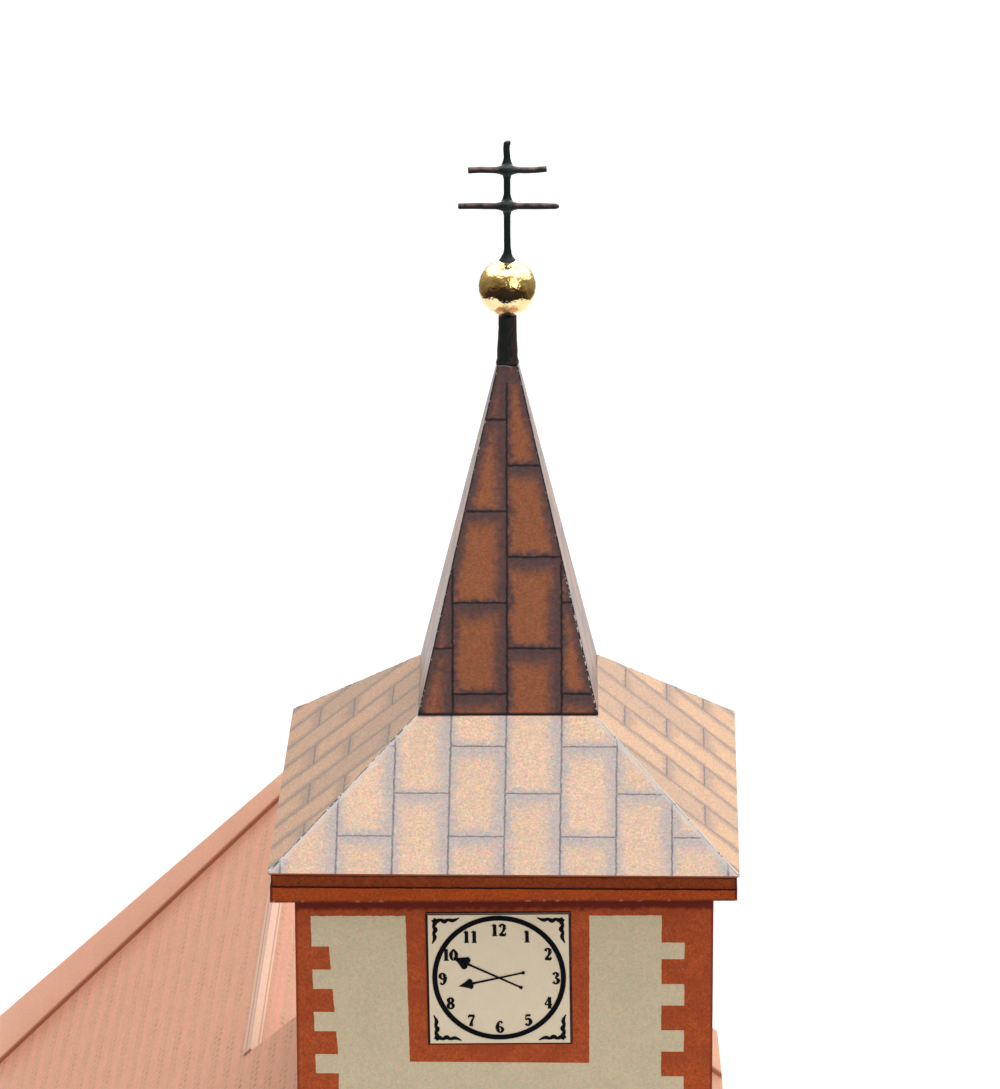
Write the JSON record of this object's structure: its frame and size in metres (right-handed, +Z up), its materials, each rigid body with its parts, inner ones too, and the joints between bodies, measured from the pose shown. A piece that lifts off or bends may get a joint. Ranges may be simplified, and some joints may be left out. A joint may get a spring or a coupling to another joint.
{
  "type": "card model of a church",
  "caption": "Small card model of a church: square clock tower with hipped roof, steep spire, ball and wire cross, and a nave with a saddle roof behind it.",
  "frame": {"origin": "on the ground, at the middle of the tower's square plan", "axes": "+Z up, -Y the tower's front, with the nave running back along +Y"},
  "size_m": [0.0797, 0.1103, 0.1619],
  "materials": {
    "wall_card": "printed matt card, speckled brick red and cream",
    "slab_card": "printed matt card, pale pink stone slabs",
    "copper_card": "printed matt card, dark brown sheets",
    "tile_card": "printed matt card, fine pink tiles",
    "plain_card": "bare white card",
    "dial_card": "printed matt card, cream with a dark dial",
    "window_card": "printed matt card, dark leaded panes",
    "door_card": "printed matt card, dark boards",
    "neck_wood": "dark stained stick",
    "ball_brass": "polished",
    "cross_wire": "blackened wire"
  },
  "bodies": {
    "root": {"tower_front_wall": "wall_card", "tower_right_wall": "wall_card", "tower_back_wall": "wall_card", "tower_left_wall": "wall_card", "tower_floor": "plain_card", "tower_door": "door_card", "tower_front_window": "window_card", "tower_right_window": "window_card", "clock_panel_front": "dial_card", "cornice_front": "wall_card", "cornice_right": "wall_card", "cornice_back": "wall_card", "cornice_left": "wall_card", "tower_roof_front": "slab_card", "tower_roof_right": "slab_card", "tower_roof_back": "slab_card", "tower_roof_left": "slab_card", "spire_front": "copper_card", "spire_right": "copper_card", "spire_back": "copper_card", "spire_left": "copper_card", "spire_neck": "neck_wood", "ball": "ball_brass", "cross_stem": "cross_wire", "cross_upper_bar": "cross_wire", "cross_lower_bar": "cross_wire", "nave_front_wall": "wall_card", "nave_back_wall": "wall_card", "nave_left_wall": "wall_card", "nave_right_wall": "wall_card", "nave_floor": "plain_card", "nave_roof_left": "tile_card", "nave_roof_right": "tile_card", "ridge_cap": "tile_card", "roof_cheek": "wall_card", "nave_left_window_1": "window_card", "nave_left_window_2": "window_card", "nave_left_window_3": "window_card", "nave_right_window_1": "window_card", "nave_right_window_2": "window_card", "nave_front_window": "window_card", "nave_back_window": "window_card"}
  },
  "joints": []
}
